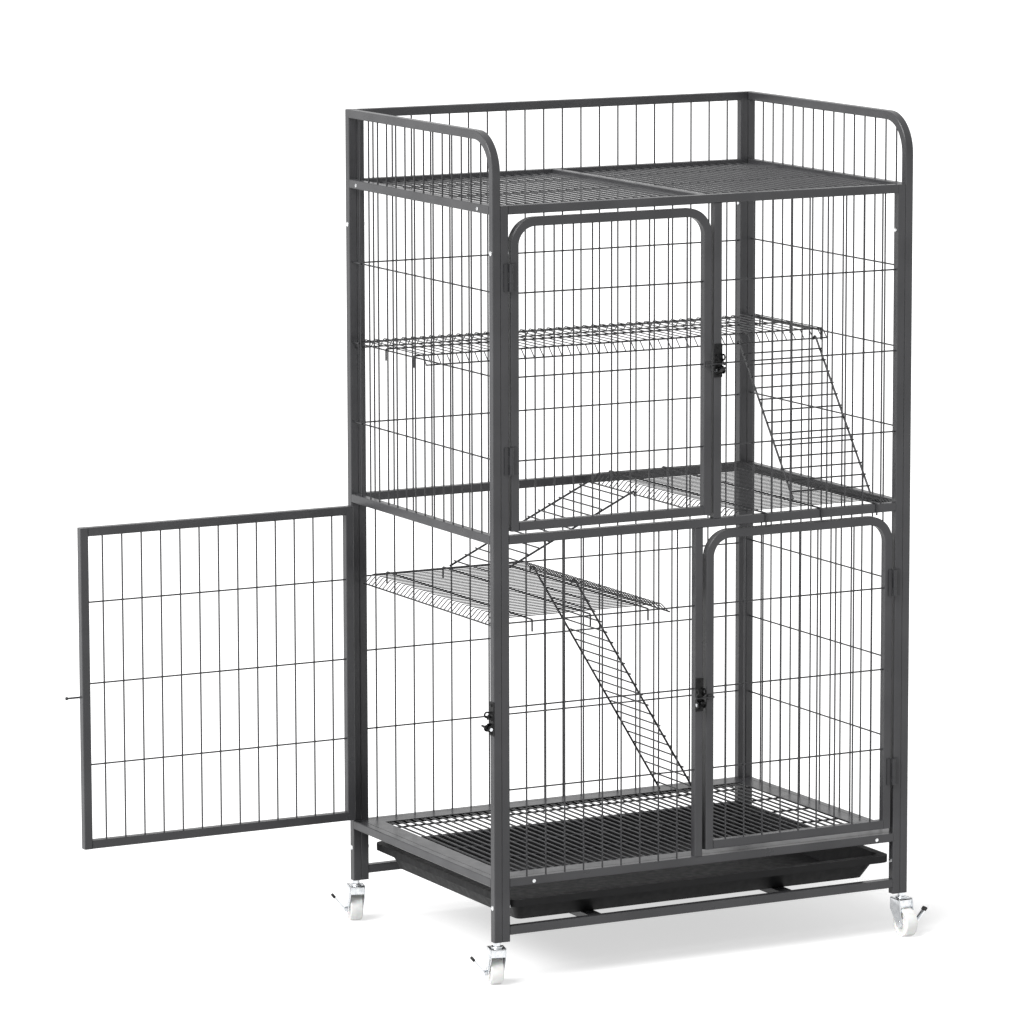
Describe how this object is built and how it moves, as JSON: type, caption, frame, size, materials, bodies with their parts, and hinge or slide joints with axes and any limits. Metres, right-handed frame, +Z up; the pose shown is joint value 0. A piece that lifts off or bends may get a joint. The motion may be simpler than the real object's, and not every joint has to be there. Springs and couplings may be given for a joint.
{
  "type": "cat cage",
  "caption": "Wire-panelled multi-level cat cage on braked casters, with hinged doors, slam latches, shelves, ladders, roof guard and slide-out tray.",
  "frame": {"origin": "on the floor, under the centre of the cage's rectangular footprint, the open side door left out", "axes": "+X to the right seen from the front, +Y to the back, +Z up"},
  "size_m": [1.5146, 0.67, 1.559],
  "materials": {
    "tube_coat": "satin hammered powder coat",
    "wire_coat": "satin powder coat",
    "hinge_steel": "satin powder coat",
    "latch_black": "semi-gloss black",
    "fastener": "bright zinc",
    "tray_plastic": "fine matte grain",
    "zinc": "bright zinc plate",
    "wheel_nylon": "smooth white nylon"
  },
  "bodies": {
    "cage": {"left_side_frame": "tube_coat", "right_side_frame": "tube_coat", "front_frame": "tube_coat", "back_frame": "tube_coat", "left_side_wires": "wire_coat", "right_side_wires": "wire_coat", "back_wires": "wire_coat", "front_upper_wires": "wire_coat", "front_lower_wires": "wire_coat", "roof_centre_bar": "tube_coat", "roof_panel_left": "wire_coat", "roof_panel_right": "wire_coat", "floor_ledge": "tube_coat", "floor_grid": "wire_coat", "tray_runners": "tube_coat", "upper_shelf": "wire_coat", "middle_shelf": "wire_coat", "lower_shelf": "wire_coat", "frame_bolts": "fastener", "panel_screws": "fastener", "latch_brackets": "latch_black", "latch_pins": "hinge_steel", "latch_screws": "fastener", "frame_hinge_leaves": "hinge_steel", "caster_stems": "zinc"},
    "upper_door": {"upper_door_frame": "tube_coat", "upper_door_wires": "wire_coat", "upper_door_hinge_leaves": "hinge_steel", "upper_door_striker": "hinge_steel"},
    "lower_door": {"lower_door_frame": "tube_coat", "lower_door_wires": "wire_coat", "lower_door_hinge_leaves": "hinge_steel", "lower_door_striker": "hinge_steel"},
    "side_door": {"side_door_frame": "tube_coat", "side_door_wires": "wire_coat", "side_door_hinge_leaves": "hinge_steel", "side_door_striker": "hinge_steel"},
    "upper_latch": {"upper_latch_pawl": "latch_black"},
    "lower_latch": {"lower_latch_pawl": "latch_black"},
    "side_latch": {"side_latch_pawl": "latch_black"},
    "tray": {"tray": "tray_plastic"},
    "upper_ladder": {"upper_ladder": "wire_coat"},
    "middle_ladder": {"middle_ladder": "wire_coat"},
    "lower_ladder": {"lower_ladder": "wire_coat"},
    "swivel_front_left": {"caster_fork_front_left": "zinc"},
    "wheel_front_left": {"caster_wheel_front_left": "wheel_nylon"},
    "brake_front_left": {"caster_lever_front_left": "zinc"},
    "swivel_front_right": {"caster_fork_front_right": "zinc"},
    "wheel_front_right": {"caster_wheel_front_right": "wheel_nylon"},
    "brake_front_right": {"caster_lever_front_right": "zinc"},
    "swivel_back_left": {"caster_fork_back_left": "zinc"},
    "wheel_back_left": {"caster_wheel_back_left": "wheel_nylon"},
    "brake_back_left": {"caster_lever_back_left": "zinc"},
    "swivel_back_right": {"caster_fork_back_right": "zinc"},
    "wheel_back_right": {"caster_wheel_back_right": "wheel_nylon"},
    "brake_back_right": {"caster_lever_back_right": "zinc"}
  },
  "joints": [
    {"name": "upper_door_hinge", "type": "hinge", "parent": "cage", "child": "upper_door", "pos_m": [-0.4055, -0.3042, 1.1215], "axis": [0, 0, -1], "range_deg": [0, 170]},
    {"name": "lower_door_hinge", "type": "hinge", "parent": "cage", "child": "lower_door", "pos_m": [0.405, -0.3042, 0.509], "axis": [0, 0, 1], "range_deg": [0, 170]},
    {"name": "side_door_hinge", "type": "hinge", "parent": "cage", "child": "side_door", "pos_m": [-0.4442, 0.282, 0.5085], "axis": [0, 0, 1], "range_deg": [-80, 90]},
    {"name": "upper_latch_pivot", "type": "hinge", "parent": "cage", "child": "upper_latch", "pos_m": [0.024, -0.3065, 1.105], "axis": [-1, 0, 0], "range_deg": [0, 45]},
    {"name": "lower_latch_pivot", "type": "hinge", "parent": "cage", "child": "lower_latch", "pos_m": [-0.014, -0.3065, 0.486], "axis": [-1, 0, 0], "range_deg": [0, 45]},
    {"name": "side_latch_pivot", "type": "hinge", "parent": "cage", "child": "side_latch", "pos_m": [-0.4465, -0.292, 0.479], "axis": [0, 1, 0], "range_deg": [0, 45]},
    {"name": "tray_slide", "type": "slide", "parent": "cage", "child": "tray", "axis": [0, -1, 0], "range_m": [0, 0.5]},
    {"name": "upper_ladder_hook", "type": "hinge", "parent": "cage", "child": "upper_ladder", "pos_m": [0.3175, -0.0115, 1.10963], "axis": [-1, 0, 0], "range_deg": [0, 15]},
    {"name": "middle_ladder_hook", "type": "hinge", "parent": "cage", "child": "middle_ladder", "pos_m": [0.0665, 0.1825, 0.8189], "axis": [0, 1, 0], "range_deg": [0, 60]},
    {"name": "lower_ladder_hook", "type": "hinge", "parent": "cage", "child": "lower_ladder", "pos_m": [-0.0625, 0.1825, 0.65963], "axis": [0, -1, 0], "range_deg": [0, 25]},
    {"name": "swivel_front_left", "type": "hinge", "parent": "cage", "child": "swivel_front_left", "pos_m": [-0.432, -0.292, 0.07], "axis": [0, 0, 1], "continuous": true},
    {"name": "wheel_front_left", "type": "hinge", "parent": "swivel_front_left", "child": "wheel_front_left", "pos_m": [-0.4277, -0.27659, 0.0265], "axis": [-0.9632, 0.2689, 0], "continuous": true},
    {"name": "brake_front_left", "type": "hinge", "parent": "swivel_front_left", "child": "brake_front_left", "pos_m": [-0.44561, -0.27159, 0.021], "axis": [-0.2689, -0.9632, 0], "range_deg": [0, 35]},
    {"name": "swivel_front_right", "type": "hinge", "parent": "cage", "child": "swivel_front_right", "pos_m": [0.432, -0.292, 0.07], "axis": [0, 0, 1], "continuous": true},
    {"name": "wheel_front_right", "type": "hinge", "parent": "swivel_front_right", "child": "wheel_front_right", "pos_m": [0.432, -0.308, 0.0265], "axis": [1, 0, 0], "continuous": true},
    {"name": "brake_front_right", "type": "hinge", "parent": "swivel_front_right", "child": "brake_front_right", "pos_m": [0.4506, -0.308, 0.021], "axis": [0, 1, 0], "range_deg": [0, 35]},
    {"name": "swivel_back_left", "type": "hinge", "parent": "cage", "child": "swivel_back_left", "pos_m": [-0.432, 0.292, 0.07], "axis": [0, 0, 1], "continuous": true},
    {"name": "wheel_back_left", "type": "hinge", "parent": "swivel_back_left", "child": "wheel_back_left", "pos_m": [-0.4277, 0.30741, 0.0265], "axis": [-0.9632, 0.2689, 0], "continuous": true},
    {"name": "brake_back_left", "type": "hinge", "parent": "swivel_back_left", "child": "brake_back_left", "pos_m": [-0.44561, 0.31241, 0.021], "axis": [-0.2689, -0.9632, 0], "range_deg": [0, 35]},
    {"name": "swivel_back_right", "type": "hinge", "parent": "cage", "child": "swivel_back_right", "pos_m": [0.432, 0.292, 0.07], "axis": [0, 0, 1], "continuous": true},
    {"name": "wheel_back_right", "type": "hinge", "parent": "swivel_back_right", "child": "wheel_back_right", "pos_m": [0.43614, 0.27654, 0.0265], "axis": [0.9659, 0.2588, 0], "continuous": true},
    {"name": "brake_back_right", "type": "hinge", "parent": "swivel_back_right", "child": "brake_back_right", "pos_m": [0.45411, 0.28136, 0.021], "axis": [-0.2588, 0.9659, 0], "range_deg": [0, 35]}
  ]
}
